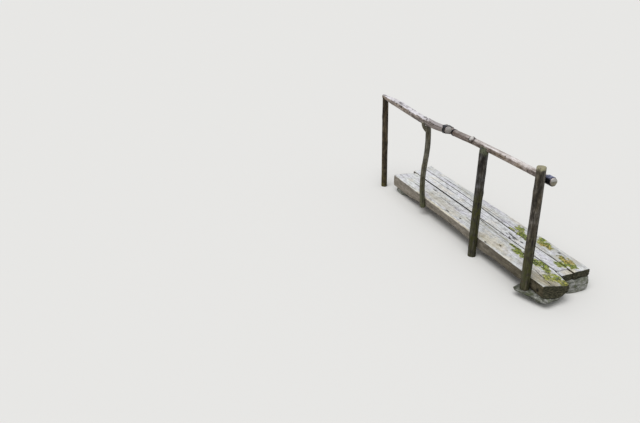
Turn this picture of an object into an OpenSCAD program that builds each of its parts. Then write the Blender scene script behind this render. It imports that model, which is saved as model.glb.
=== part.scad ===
// Rustic wooden footbridge: three split-log planks on bearing stones, with a
// pole handrail on four natural posts along the left side.
//
// Millimetres. The model's +Z is up, +X runs along the deck from the near end
// to the far end, and +Y points to the handrail side. Inside the modules the
// places are counted from the left plank: x from its near end, y from its
// left side face and z from the deck's top. The module placed() moves them to
// the origin, which is at the bottom centre of the whole bridge.

/* [Deck] */
// Height of the deck's top above the lowest ground
deck_height = 220; // [180:5:400]
// Length of the left plank
deck_length = 3030; // [2400:10:4200]
// Width of the left plank
left_plank_width = 310; // [220:2:360]
// Width of the middle plank at the far end
middle_plank_width = 186; // [140:2:260]
// How much narrower the middle plank is at its near end
middle_plank_taper = 42; // [0:2:70]
// Width of the right plank at the far end
right_plank_width = 132; // [100:2:240]
// How much wider the right plank is at its near end
right_plank_flare = 62; // [0:2:80]
// Thickness of the left plank at its near end
near_thickness = 120; // [90:2:160]
// Thickness of the middle and right planks at their near ends
thin_thickness = 84; // [60:2:120]
// Extra depth of the left plank at its near end
near_belly = 10; // [0:2:40]
// Wear of the left plank's right-hand corner at its near end
corner_wear = 34; // [0:2:50]
// How far the underside of that corner rises off the slab
corner_lift = 34; // [0:2:40]
// Thickness of the middle and right planks at the far stones
far_thickness = 116; // [90:2:160]
// Extra depth of the left plank at its far end
far_belly = 36; // [0:2:60]
// Open joint between the left and middle planks at mid span
open_joint = 13; // [4:1:20]
// Tight joint between neighbouring planks
tight_joint = 4; // [1:1:10]
// Worn rounding along the top edges of the planks
worn_edge = 12; // [4:1:25]
// Depth of the split-off ledge at the middle plank's near end
ledge_depth = 12; // [5:1:50]
// Length of the split-off ledge
ledge_length = 76; // [40:2:200]

/* [Handrail] */
// Height of the near pole's centre line above the deck
rail_height = 1000; // [800:5:1150]
// Radius of the near, smooth pole
near_pole_radius = 38; // [28:1:50]
// Arch of the near pole between its two posts
near_pole_arch = 4; // [0:1:20]
// Radius of the far, gnarled pole
far_pole_radius = 47; // [34:1:56]
// Sag of the far pole at the crooked post
far_pole_dip = 22; // [0:1:50]
// Length over which the two poles lie side by side
lap_length = 185; // [140:5:300]
// How much higher the far pole lies than the near pole at the lap
lap_rise = 36; // [0:1:55]
// Place of the far pole's cut end along the deck
splice_at = 1706; // [1400:5:1850]

/* [Posts] */
// Radius of the near post
near_post_radius = 47; // [36:1:60]
// Place of the near post along the deck
near_post_at = 198; // [170:2:400]
// How far the near post stands above the rail's centre
near_post_rise = 136; // [60:2:240]
// Radius of the middle post
middle_post_radius = 49; // [38:1:60]
// Place of the middle post along the deck
middle_post_at = 1086; // [700:2:1250]
// Radius of the crooked post
crooked_post_radius = 33; // [26:1:45]
// Place of the crooked post along the deck
crooked_post_at = 2175; // [2000:5:2400]
// Sideways sway of the crooked post's curve
crook_sway = 43; // [0:1:60]
// How far the fork's outer arm stands out from the crooked post's axis
fork_spread = 50; // [40:1:60]
// Radius of the far post
far_post_radius = 41; // [32:1:55]
// Distance of the far post past the end of the deck
far_post_gap = 242; // [120:2:320]
// Depth of the flat that seats a post on the plank's side
seat_depth = 8; // [3:1:14]

/* [Straps] */
// Width of one turn of the strap at the near post
near_strap_width = 22; // [12:1:26]
// Width of one turn of the splice's strap
splice_strap_width = 24; // [15:1:30]
// Thickness of the strap at the near post
near_strap_thickness = 7; // [4:0.5:8]
// Thickness of the splice's strap
splice_strap_thickness = 5; // [3:0.5:8]

/* [Stones] */
// Thickness of the flat slab under the left plank's near end
slab_thickness = 26; // [15:1:50]
// How far the slab reaches out past the near post
slab_lip = 30; // [0:1:80]
// Length of the bearing under each end of the deck
bearing_length = 250; // [160:5:360]
// How far the right-hand stones stand out from under the deck
stone_lip = 18; // [0:1:50]

/* [Hidden] */

// Clearance between pieces that seat on each other
fit = 0.3;
// The left plank's near end lies this far before x = 0
near_overhang = 45;
far_end = deck_length - near_overhang;
// The middle and right planks are set back at the near end and run on past
// the left plank at the far end
middle_setback = 98;
middle_overrun = 25;
right_setback = 90;
right_overrun = 45;
// Width of the deck at its far and its near end
far_deck_width = left_plank_width + middle_plank_width + right_plank_width;
deck_width = far_deck_width - middle_plank_taper + right_plank_flare;

// Centres of the posts, counted out from the plank's side
near_post_y = near_post_radius - seat_depth;
middle_post_y = middle_post_radius - seat_depth;
crooked_post_y = crooked_post_radius - seat_depth / 2;
far_post_at = far_end + far_post_gap;
far_post_y = 50;
// How far the posts' tops lean along the deck and, on the middle post, in
near_post_lean = 18;
middle_post_lean = 34;
middle_post_lean_in = 40;
far_post_lean = 52;

// The crooked post's curve: its furthest point above the deck and the length
// of a whole wave
crook_top = 190;
crook_wave = 1184;
crooked_foot = -112;

// The near pole runs out a little towards the splice, and falls there
splice_y = -12;
lap_drop = 12;
// The near pole sticks out past the near post, and the far pole past its own
near_pole_overrun = 12;
pole_overrun = 50;

// The slab's toe before the plank's near end
slab_toe = 32;
slab_back = left_plank_width;
slab_front = 2 * near_post_radius + slab_lip;
stone_inset = 20;

origin_x = (far_post_at + pole_overrun - near_overhang - slab_toe) / 2;
origin_y = (slab_front - deck_width - stone_lip) / 2;

module placed() {
    translate([-origin_x, -origin_y, deck_height]) children();
}

// Small maths

function mix(a, b, t) = a + (b - a) * t;
function limit(v, lo, hi) = min(max(v, lo), hi);
function ease(v, a, b) =
    let (t = limit((v - a) / (b - a), 0, 1)) t * t * (3 - 2 * t);
function hump(v, centre, spread) =
    let (t = (v - centre) / spread) exp(-t * t);
function steps(a, b, n) = [for (i = [0 : n]) mix(a, b, i / n)];
// A smooth, repeatable wobble between -1 and 1
function wobble(v, seed) =
    (sin(v * 0.71 + seed * 61) + sin(v * 1.83 + seed * 137) * 0.6
        + sin(v * 4.37 + seed * 29) * 0.3) / 1.9;

// Solid through a row of rings with equally many points, closed by fans.
// Each ring runs counter-clockwise about the direction of the row.
module loft(rings) {
    n = len(rings);
    k = len(rings[0]);
    points = [for (ring = rings) each ring];
    ends = [for (ring = [rings[0], rings[n - 1]])
        [for (axis = [0 : 2]) [for (p = ring) p[axis]] * [for (p = ring) 1 / k]]];
    sides = [for (i = [0 : n - 2], j = [0 : k - 1])
        let (a = i * k + j, b = i * k + (j + 1) % k)
        each [[a, a + k, b + k], [a, b + k, b]]];
    first = [for (j = [0 : k - 1]) [n * k, j, (j + 1) % k]];
    last = [for (j = [0 : k - 1])
        [n * k + 1, (n - 1) * k + (j + 1) % k, (n - 1) * k + j]];
    polyhedron(concat(points, ends), concat(sides, first, last));
}

// Radius of natural wood at a place along it and an angle round it. The bark
// relief stays inside the radius, and only knots stand out of it. Relief and
// knots are in radii: a knot is [share of the length, angle, height, spread].
function wood_radius(share, length, angle, radius, seed, relief, knots) =
    radius * (1 - relief * (0.5 + 0.5 * wobble(angle * 2.1
            + share * length / radius * 5, seed))
        + max([for (k = concat([[0, 0, 0, 1]], knots))
            let (turn = ((angle - k[1] + 540) % 360) - 180,
                away = (share - k[0]) * length / radius)
            k[2] * hump(away, 0, k[3]) * hump(turn * PI / 180, 0, k[3])]));

// Planks

// The joint between the left and middle planks, its gap, the joint between
// the middle and right planks and the deck's outer edge
first_joint = -left_plank_width;
function first_gap(x) = mix(tight_joint, open_joint,
    ease(x, 0.43 * deck_length, 0.53 * deck_length)
    - ease(x, 0.86 * deck_length, 0.93 * deck_length));
function second_joint(x) = first_joint - middle_plank_width
    + middle_plank_taper * (1 - ease(x, 0.33 * deck_length,
        0.69 * deck_length));
function right_edge(x) = -mix(deck_width, far_deck_width,
    ease(x, 0.42 * deck_length, 0.85 * deck_length))
    - worn_edge / 3 * wobble(x * 0.35, 5);

// The left plank's underside has a deep near end, a knot near the middle
// post, a hollow past mid span and a deep belly at the far stones
function left_underside(x) =
    -near_thickness * (1 - 0.2 * hump(x, 0.56 * deck_length, 0.14 * deck_length)
        + 0.18 * hump(x, 0.33 * deck_length, 0.04 * deck_length))
    - near_belly * (1 - ease(x, 0.3 * near_post_at, 1.4 * near_post_at))
    - far_belly * ease(x, 0.74 * deck_length, 0.86 * deck_length);
function plain_underside(x) =
    -mix(thin_thickness, far_thickness, ease(x, 0.2 * deck_length,
        0.8 * deck_length)) * (1 - 0.12 * hump(x, 0.5 * deck_length,
        0.2 * deck_length));

// One ring of a plank, seen along +X: left side, top, right side, underside
plank_top_points = 8;
top_relief = 1.6;
function plank_ring(x, left, right, top, under, belly) =
    let (e = worn_edge,
        inner = [for (i = [1 : plank_top_points])
            let (y = mix(left - e, right + e, i / (plank_top_points + 1)))
            [y, top + top_relief * wobble(x * 0.4 + y * 3.1, left)]])
    concat(
        [[left, top - e], [left - 0.3 * e, top - 0.3 * e], [left - e, top]],
        inner,
        [[right + e, top], [right + 0.3 * e, top - 0.3 * e], [right, top - e]],
        [[right, under + belly], [right + 0.35 * belly, under + 0.3 * belly],
            [right + belly, under], [mix(left, right, 0.5), under],
            [left - belly, under], [left - 0.35 * belly, under + 0.3 * belly],
            [left, under + belly]]
    );
// The ring's points at x, each moved along by the skew for its y
function place_ring(x, ring, skew) =
    [for (p = ring) [x + lookup(p[0], skew), p[0], p[1]]];

plank_rings = 30;
// Rounding along the planks' lower edges
lower_edge = 24;
// The step behind the split-off ledge
step_at = middle_setback + ledge_length;
step_run = 6;

module left_plank() {
    w = left_plank_width;
    // How far each end stands back across the width, from right to left
    near_outline = [[-w, 30], [-0.82 * w, -2], [-0.53 * w, -14],
        [-0.2 * w, 12], [0, 42]];
    far_outline = [[-w, -59], [-0.84 * w, -58], [-0.46 * w, -10], [0, 0]];
    // The near end's face leans back towards its top
    near_slope = 0.12;
    xs = concat(steps(-near_overhang, step_at, 4),
        steps(step_at + step_run, far_end, plank_rings - 4));
    color("#b9b0a0") placed() loft([for (x = xs)
        let (t = (x + near_overhang) / deck_length,
            near = [for (p = near_outline) [p[0], p[1] * pow(1 - t, 12)]],
            far = [for (p = far_outline) [p[0], p[1] * pow(t, 14)]],
            right = first_joint + first_gap(x),
            ring = plank_ring(x, 0, right, 0, left_underside(x), lower_edge))
        [for (p = place_ring(x, ring, near))
            p + [lookup(p[1], far) + near_slope * p[2] * pow(1 - t, 12), 0,
                p[2] < -2 * worn_edge ? lifted(x, p[1])
                    : -worn_away(x, p[1])]]]);
}

// How much the underside of the left plank rises to the right at its near end
function lifted(x, y) = corner_lift
    * ease(y, -0.4 * left_plank_width, -left_plank_width)
    * (1 - ease(x, 0, 0.4 * near_post_at));

// How much is worn off the top of the left plank at the near end: a slope
// down to the right-hand corner, and half the ledge's step
function worn_away(x, y) = x > step_at ? 0
    : ease(y, -0.45 * left_plank_width, -0.62 * left_plank_width)
        * (ledge_depth / 2 + (corner_wear - ledge_depth / 2)
            * ease(y, -0.4 * left_plank_width, -left_plank_width)
            * (1 - ease(x, -near_overhang, step_at)));

module middle_plank() {
    xs = concat([middle_setback, step_at, step_at + step_run],
        steps(step_at + 10 * step_run, far_end + middle_overrun,
            plank_rings - 4));
    color("#b3a999") placed() loft([for (x = xs)
        place_ring(x, plank_ring(x, first_joint,
            second_joint(x) + tight_joint, x > step_at ? 0 : -ledge_depth,
            plain_underside(x), lower_edge), [[-1, 0], [0, 0]])]);
}

module right_plank() {
    far_outline = [[-far_deck_width, 50],
        [right_plank_width - far_deck_width, 5]];
    color("#b6ac9c") placed() loft([for (i = [0 : plank_rings])
        let (t = i / plank_rings,
            x = mix(right_setback, far_end + right_overrun, t),
            far = [for (p = far_outline) [p[0], p[1] * pow(t, 14)]])
        place_ring(x, plank_ring(x, second_joint(x), right_edge(x), 0,
            plain_underside(x), lower_edge), far)]);
}

// Posts

post_sides = 20;
// Ring of a post at height z; flat is the y of the seat, or undef
function post_ring(z, foot, top, centre, radius, seed, relief, knots, flat) =
    [for (j = [0 : post_sides - 1])
        let (angle = j * 360 / post_sides,
            r = wood_radius((z - foot) / (top - foot), top - foot, angle,
                radius, seed, relief, knots),
            y = centre[1] + r * sin(angle))
        [centre[0] + r * cos(angle), is_undef(flat) ? y : max(y, flat), z]];

// Heights for a post's rings, with a close pair where its seat ends and
// another at its worn top edge
seat_top = 14;
top_wear = 5;
function post_heights(foot, top, n) =
    let (low = steps(foot, seat_top, ceil(n / 4)),
        high = steps(seat_top + 6, top - top_wear, n - 2 - ceil(n / 4)))
    concat(low, high, [top]);
function seat_at(z) = z <= seat_top ? fit : undef;

module near_post() {
    foot = slab_top + fit;
    top = rail_height + near_post_rise;
    knots = [[0.3, 60, 0.07, 0.7], [0.6, 140, 0.11, 0.85], [0.8, 20, 0.1, 0.6]];
    color("#5d5244") placed() loft([for (z = post_heights(foot, top, 27))
        post_ring(z, foot, top,
            [near_post_at + near_post_lean * z / rail_height, near_post_y],
            near_post_radius - (z < top ? 0 : top_wear), 3, 0.08, knots,
            seat_at(z))]);
}

// The near pole lies in a saddle on the inner half of the post's top. The
// outer half stands up beside it as a horn, which a bevel thins to a wedge.
horn_rise = 14;
horn_tip = 12;
bevel_lean = 16;
bevel_turn = 10;
module middle_post() {
    foot = -deck_height;
    top = rail_height + horn_rise;
    at = middle_post_at + middle_post_lean;
    knots = [[0.58, 250, 0.3, 0.45], [0.4, 120, 0.12, 0.7],
        [0.78, 200, 0.12, 0.6]];
    bevel = 4 * middle_post_radius;
    color("#51483c") placed() difference() {
        loft([for (z = post_heights(foot, top, 27))
            post_ring(z, foot, top,
                [middle_post_at + middle_post_lean * z / rail_height,
                    middle_post_y - middle_post_lean_in
                        * max(z, 0) / rail_height],
                middle_post_radius, 7, 0.09, knots, seat_at(z))]);
        near_pole_space(at);
        translate([at, near_pole_y(at) + near_pole_radius + fit + horn_tip,
                top])
            rotate([bevel_lean, 0, bevel_turn])
            translate([-bevel, 0, -bevel]) cube([2 * bevel, bevel, 2 * bevel]);
    }
}

// The crooked post flares into a flat fork under the far pole. Its tall arm
// stands outside the pole and the short one on the deck's side, with a web
// between them, and the whole head is scribed to the pole.
fork_height = 144;
fork_swelling = 0.12;
fork_lean = 34;
fork_inner = 0.2;
function crooked_x(z) = crooked_post_at
    + crook_sway * cos((z - crook_top) / crook_wave * 360);
function crooked_y(z) = mix(crooked_post_y, far_pole_y(crooked_post_at),
    ease(z, crook_top / 3, rail_height));

// Ring of the head: the trunk's round drawn out to both sides, further on the
// outer side than on the deck's
function head_ring(z, foot, top) =
    let (share = (z - foot) / (top - foot),
        out = fork_spread * sin(90 * limit(share * 1.25, 0, 1)))
    [for (p = post_ring(z, foot, top, [crooked_x(z), crooked_y(z)],
            crooked_post_radius * (0.77 - 0.17 * share)
            - (z < top ? 0 : top_wear), 12, 0.06, [], undef))
        p + (p[1] > crooked_y(z) ? [fork_lean * share, out, 0]
            : [0, -fork_inner * out, 0])];

module crooked_post() {
    top = rail_height - far_pole_dip;
    swelling_at = rail_height - fork_height;
    knots = [[0.48, 90, 0.16, 0.75], [0.74, 200, 0.16, 0.7],
        [0.3, 340, 0.12, 0.7]];
    color("#6d6f5c") placed() difference() {
        union() {
            loft([for (z = post_heights(crooked_foot, top, 29))
                post_ring(z, crooked_foot, top, [crooked_x(z), crooked_y(z)],
                    crooked_post_radius * (1 + fork_swelling
                        * ease(z, swelling_at, top)), 11, 0.08, knots,
                    seat_at(z))]);
            loft([for (z = concat(steps(swelling_at, top - top_wear, 7), [top]))
                head_ring(z, swelling_at, top)]);
        }
        far_pole_space(crooked_post_at);
    }
}

module far_post() {
    foot = -deck_height;
    top = rail_height;
    knots = [[0.5, 200, 0.12, 0.7], [0.8, 80, 0.14, 0.7]];
    color("#4b4236") placed() difference() {
        loft([for (z = steps(foot, top, 24))
            post_ring(z, foot, top,
                [far_post_at + far_post_lean * (z - top) / rail_height,
                    far_post_y], far_post_radius, 13, 0.1, knots, undef)]);
        far_pole_space(far_post_at);
    }
}

// Rail poles

// Centre line of the near pole, from before the near post to past the splice.
// It passes behind the near post, with the strap between them, over the middle
// post's inner half and, at the splice, below the far pole, on its deck side.
near_pole_start = near_post_at - near_post_radius - near_pole_overrun;
near_pole_end = splice_at + lap_length;
function near_pole_straight_y(x) =
    mix(near_post_y - near_post_radius - near_strap_thickness
            - near_pole_radius - 2 * fit, splice_y,
        (x - near_post_at - near_post_lean)
            / (splice_at - near_post_at - near_post_lean));
// Along the lap the near pole lies against the far one
function beside(x) = sqrt(pow(near_pole_radius + far_pole_r(x) + fit, 2)
    - pow(far_pole_z(x) - near_pole_z(x), 2));
function near_pole_y(x) =
    x < splice_at ? near_pole_straight_y(x) : far_pole_y(x) - beside(x);
function near_pole_z(x) = rail_height
    + near_pole_arch * hump(x, mix(near_post_at, middle_post_at, 0.6),
        (middle_post_at - near_post_at) * 0.6)
    - lap_drop * ease(x, mix(middle_post_at, splice_at, 0.35), splice_at);
// Centre line of the far pole, from its cut end over the crooked post, where
// it lies lowest, to the far post
far_pole_end = far_post_at + pole_overrun;
far_pole_low = crooked_post_at + 2 * crook_sway;
function far_pole_y(x) =
    mix(near_pole_straight_y(splice_at) + beside(splice_at), far_post_y,
        ease(x, splice_at, crooked_post_at));
function far_pole_z(x) =
    let (s = limit((x - splice_at) / (far_pole_low - splice_at), 0, 1))
    rail_height + mix(-far_pole_dip, lap_rise - lap_drop, pow(1 - s, 2))
    + far_pole_dip * ease(x, far_pole_low, far_post_at - far_post_gap);
function far_pole_r(x) = far_pole_radius
    * (0.9 + 0.1 * ease(x, splice_at, splice_at + 2 * lap_length)
        - 0.38 * ease(x, far_end - far_post_gap / 4, far_pole_end));

// Space that a pole takes up near x, with its clearance, open to the top
space_reach = 90;
space_sides = 32;
function round_ring(x, centre, radius) =
    [for (j = [0 : space_sides - 1])
        let (angle = j * 360 / space_sides,
            r = radius / cos(180 / space_sides))
        [x, centre[0] + r * cos(angle),
            centre[1] + (angle < 180 ? 4 : 1) * r * sin(angle)]];
module near_pole_space(x0) {
    loft([for (x = steps(x0 - space_reach, x0 + space_reach, 6))
        round_ring(x, [near_pole_y(x), near_pole_z(x)],
            near_pole_radius + fit)]);
}
module far_pole_space(x0) {
    loft([for (x = steps(x0 - space_reach, x0 + space_reach, 6))
        round_ring(x, [far_pole_y(x), far_pole_z(x)], far_pole_r(x) + fit)]);
}

pole_sides = 20;
function pole_ring(x, start, end, centre, radius, seed, relief, knots) =
    [for (j = [0 : pole_sides - 1])
        let (angle = j * 360 / pole_sides,
            r = wood_radius((x - start) / (end - start), end - start, angle,
                radius, seed, relief, knots))
        [x, centre[0] + r * cos(angle), centre[1] + r * sin(angle)]];

module near_rail_pole() {
    knots = [[0.635, 80, 0.2, 0.5], [0.4, 100, 0.1, 0.7],
        [0.78, 250, 0.11, 0.65]];
    xs = concat(steps(near_pole_start, splice_at, 26),
        [for (x = steps(splice_at, near_pole_end, 6)) if (x > splice_at) x]);
    color("#a3958c") placed() loft([for (x = xs)
        pole_ring(x, near_pole_start, near_pole_end,
            [near_pole_y(x), near_pole_z(x)], near_pole_radius, 17, 0.04,
            knots)]);
}

module far_rail_pole() {
    knots = [[0.22, 70, 0.2, 0.5], [0.265, 95, 0.22, 0.45],
        [0.4, 60, 0.22, 0.5], [0.55, 80, 0.2, 0.45], [0.7, 120, 0.2, 0.5],
        [0.76, 20, 0.2, 0.5], [0.5, 250, 0.15, 0.55]];
    color("#9b9088") placed() loft([for (x = steps(splice_at, far_pole_end, 44))
        pole_ring(x, splice_at, far_pole_end, [far_pole_y(x), far_pole_z(x)],
            far_pole_r(x), 23, 0.085, knots)]);
}

// Rubber straps

strap_sides = 28;
// The point furthest out in the direction u, the given distance clear of the
// near pole or of both poles at x
function round_poles(x, u, clear, both) =
    let (a = [near_pole_y(x), near_pole_z(x)],
        b = [far_pole_y(x), far_pole_z(x)],
        ra = near_pole_radius + clear,
        rb = far_pole_r(x) + clear)
    !both || a * u + ra > b * u + rb ? a + ra * u : b + rb * u;

// A point of the strap, moved along by its slant: where the strap runs round
// both poles it lies further along on the deck's side
function strap_point(x, u, clear, both, slant) =
    let (y = round_poles(x, u, clear, both)[0],
        there = x + slant * (far_pole_y(x) + far_pole_r(x) - y),
        p = round_poles(there, u, clear, both))
    [there, p[0], p[1]];

// A strap wound side by side round the near pole or both poles: where its
// middle starts and how far it moves on in a turn, and the turns at which it
// starts and ends, counted from the outer side over the top
module winding(at, pitch, width, thickness, first, last, both, slant) {
    loft([for (t = steps(first, last, round((last - first) * strap_sides)))
        let (x = at + pitch * t, u = [cos(t * 360), sin(t * 360)])
        [for (corner = [[-1, 0], [1, 0], [1, 1], [-1, 1]])
            strap_point(x + corner[0] * width / 2, u,
                fit + corner[1] * thickness, both, slant)]]);
}

// The turns lie this far apart
turn_gap = 1.5;
splice_slant = 0.4;
module splice_strap() {
    turns = 3;
    pitch = splice_strap_width + turn_gap;
    color("#1b1b1d") placed() winding(splice_at + pitch * (turns + 0.2), -pitch,
        splice_strap_width, splice_strap_thickness, 0.15, turns - 0.35, true,
        splice_slant);
}
module near_post_strap() {
    turns = 4;
    pitch = near_strap_width + turn_gap;
    color("#1b1b1d") placed() winding(near_pole_start + 0.9 * pitch, pitch,
        near_strap_width, near_strap_thickness, -0.35, turns - 0.8, false, 0);
}

// Bearing stones

stone_sides = 16;
// Rounded block with a flat top and bottom between two corners. Squareness
// is 2 for an oval and more for squarer corners.
module stone(low, high, seed, rough, squareness) {
    size = high - low;
    centre = (high + low) / 2;
    function ring(z, inset) = [for (j = [0 : stone_sides - 1])
        let (angle = j * 360 / stone_sides,
            c = cos(angle),
            s = sin(angle),
            square = 1 / pow(pow(abs(c), squareness)
                + pow(abs(s), squareness), 1 / squareness),
            r = square * (1 - rough * (0.5 + 0.5 * wobble(angle * 1.7, seed)))
                - inset)
        [centre[0] + size[0] / 2 * r * c, centre[1] + size[1] / 2 * r * s, z]];
    loft([for (level = [[0, 0.06], [0.12, 0], [0.5, 0], [0.85, 0.01], [1, 0.06]])
        ring(mix(low[2], high[2], level[0]), level[1])]);
}

slab_top = -near_thickness - near_belly;
// The flagstone's outline, in shares of its length, and of its reach to the
// left where y is positive and to the right where it is negative
slab_outline = [[1, 0.35], [0.95, 0.9], [0.87, 0.98], [0.55, 0.62], [0.27, 0.36],
    [0.03, 0.04], [0, -0.12], [0.07, -0.6], [0.2, -0.94], [0.36, -1],
    [0.78, -0.96], [0.95, -0.55]];
module near_left_slab() {
    low_x = -near_overhang - slab_toe;
    high_x = bearing_length + 2 * stone_inset;
    middle = [(low_x + high_x) / 2, 0];
    color("#8d8c84") placed() loft([for (level = [[0, 0.04], [0.3, 0.005],
            [0.45, 0.012], [0.7, 0], [1, 0.025]])
        [for (p = slab_outline)
            let (q = [mix(low_x, high_x, p[0]),
                    p[1] * (p[1] > 0 ? slab_front : slab_back)],
                r = middle + (q - middle) * (1 - level[1]))
            [r[0], r[1], slab_top - slab_thickness * (1 - level[0])]]]);
}
module near_left_stone() {
    color("#7f7f7a") placed()
        stone([-near_overhang + 2 * stone_inset, -slab_back + stone_inset,
            -deck_height],
            [bearing_length - stone_inset, 0, slab_top - slab_thickness],
            4, 0.06, 4);
}
module near_right_stone() {
    low_x = right_setback - 2 * stone_inset;
    color("#8b8d8b") placed()
        stone([low_x, -deck_width - stone_lip, -deck_height],
            [low_x + bearing_length, -slab_back - 2 * stone_inset,
                -thin_thickness], 6, 0.06, 5);
}
module far_left_stone() {
    color("#85857f") placed()
        stone([far_end - bearing_length, stone_inset / 2 - left_plank_width,
            -deck_height],
            [far_end, -stone_inset, -near_thickness - far_belly], 8, 0.06, 5);
}
module far_right_stone() {
    color("#81827e") placed()
        stone([far_end - bearing_length, -far_deck_width - stone_lip,
            -deck_height],
            [far_end + stone_inset, -left_plank_width - stone_inset / 2,
                -far_thickness], 9, 0.06, 5);
}

left_plank();
middle_plank();
right_plank();
near_post();
middle_post();
crooked_post();
far_post();
near_rail_pole();
far_rail_pole();
splice_strap();
near_post_strap();
near_left_slab();
near_left_stone();
near_right_stone();
far_left_stone();
far_right_stone();
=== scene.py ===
import math

import bpy
import numpy as np
from mathutils import Matrix, Vector
from mathutils.bvhtree import BVHTree


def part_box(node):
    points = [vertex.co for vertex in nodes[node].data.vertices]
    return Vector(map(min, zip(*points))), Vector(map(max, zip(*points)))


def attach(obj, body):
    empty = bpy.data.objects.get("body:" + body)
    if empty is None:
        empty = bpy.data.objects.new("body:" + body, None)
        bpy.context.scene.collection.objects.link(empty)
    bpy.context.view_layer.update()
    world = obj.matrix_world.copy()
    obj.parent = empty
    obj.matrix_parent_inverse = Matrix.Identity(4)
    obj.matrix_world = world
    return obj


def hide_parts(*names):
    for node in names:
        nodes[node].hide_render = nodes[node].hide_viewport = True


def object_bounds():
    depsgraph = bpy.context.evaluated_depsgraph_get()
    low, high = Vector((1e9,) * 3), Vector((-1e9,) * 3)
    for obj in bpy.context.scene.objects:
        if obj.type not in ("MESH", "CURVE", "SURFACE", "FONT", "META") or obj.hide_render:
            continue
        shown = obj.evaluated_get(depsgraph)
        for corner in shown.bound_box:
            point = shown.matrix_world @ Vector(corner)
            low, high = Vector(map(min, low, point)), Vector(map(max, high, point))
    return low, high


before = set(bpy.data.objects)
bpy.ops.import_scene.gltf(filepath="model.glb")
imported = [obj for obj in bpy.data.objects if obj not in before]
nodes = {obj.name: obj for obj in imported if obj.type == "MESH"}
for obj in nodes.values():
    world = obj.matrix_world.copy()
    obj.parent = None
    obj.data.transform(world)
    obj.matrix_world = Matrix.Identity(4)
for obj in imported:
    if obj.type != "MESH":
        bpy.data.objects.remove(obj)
cad_box = [list(corner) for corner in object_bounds()]

# Looks of the rustic footbridge: weathered split-log planks, natural posts and
# poles, rubber straps and bearing stones. Metres, in the frame of the solids.
# Each wooden solid is wrapped in a fine grid of points that follows its grain,
# and the grid carries the grooves, drying checks, knots and moss.

# The deck's own coordinates start at the left plank's near end: x runs along
# the deck, y out to the handrail's side and z up from the deck's top.
PLANK_LOW, PLANK_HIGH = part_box("left_plank")
DECK_ORIGIN = np.array([PLANK_LOW.x + 0.072, PLANK_HIGH.y, PLANK_HIGH.z - 0.001])

# The photograph's viewpoint, in deck coordinates, its directions in degrees, and
# its size and focal length in pixels
CAMERA_PLACE = np.array([-3.987, 3.845, 3.252])
CAMERA_HEADING, CAMERA_PITCH, CAMERA_ROLL = -21.72, -25.63, -0.226
PICTURE_SIZE = (640, 423)
FOCAL_LENGTH = 640


def on_deck(points):
    """Row frame to deck coordinates."""
    return points - DECK_ORIGIN


def camera_turn():
    """The camera's rotation."""
    heading, pitch = math.radians(CAMERA_HEADING), math.radians(CAMERA_PITCH)
    ahead = Vector((math.cos(heading) * math.cos(pitch),
                    math.sin(heading) * math.cos(pitch), math.sin(pitch)))
    turn = ahead.to_track_quat("-Z", "Y").to_matrix()
    return turn @ Matrix.Rotation(math.radians(CAMERA_ROLL), 3, "Z")


# Repeatable noise

def lattice(cells, seed):
    """A repeatable number from 0 to 1 for each whole-numbered cell."""
    mixed = cells[..., 0] * 73856093 ^ cells[..., 1] * 19349663
    mixed = mixed ^ cells[..., 2] * 83492791 ^ seed * 26544357
    mixed = (mixed ^ (mixed >> 13)) * 1274126177
    return ((mixed ^ (mixed >> 16)) & 0xFFFFFF) / 0xFFFFFF


def noise(points, seed):
    """Smooth noise from -1 to 1, one unit to a cell."""
    cell = np.floor(points).astype(np.int64)
    part = points - cell
    part = part * part * (3 - 2 * part)
    total = np.zeros(points.shape[:-1])
    for corner in np.ndindex(2, 2, 2):
        weight = np.prod(np.where(corner, part, 1 - part), axis=-1)
        total += weight * lattice(cell + np.array(corner), seed)
    return 2 * total - 1


def cloudy(points, seed, octaves=4):
    """Noise with finer and finer detail, from about -1 to 1."""
    total = np.zeros(points.shape[:-1])
    for k in range(octaves):
        total += noise(points * 2.0 ** k + 19.7 * k, seed + 31 * k) / 2 ** k
    return total / 1.5


def step(value, low, high):
    """0 below low, 1 above high and smooth between them."""
    t = np.clip((value - low) / (high - low), 0, 1)
    return t * t * (3 - 2 * t)


# Grids round the solids

# The axes of a piece that lies along x or stands along z: along, then across
ORDERS = {"x": (0, 1, 2), "z": (2, 0, 1)}
# Rays start this far from the centre line
REACH = 0.6
STATIONS = 120
# Grid points on either side over which a value is spread
SPREAD = range(-4, 5)


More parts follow.
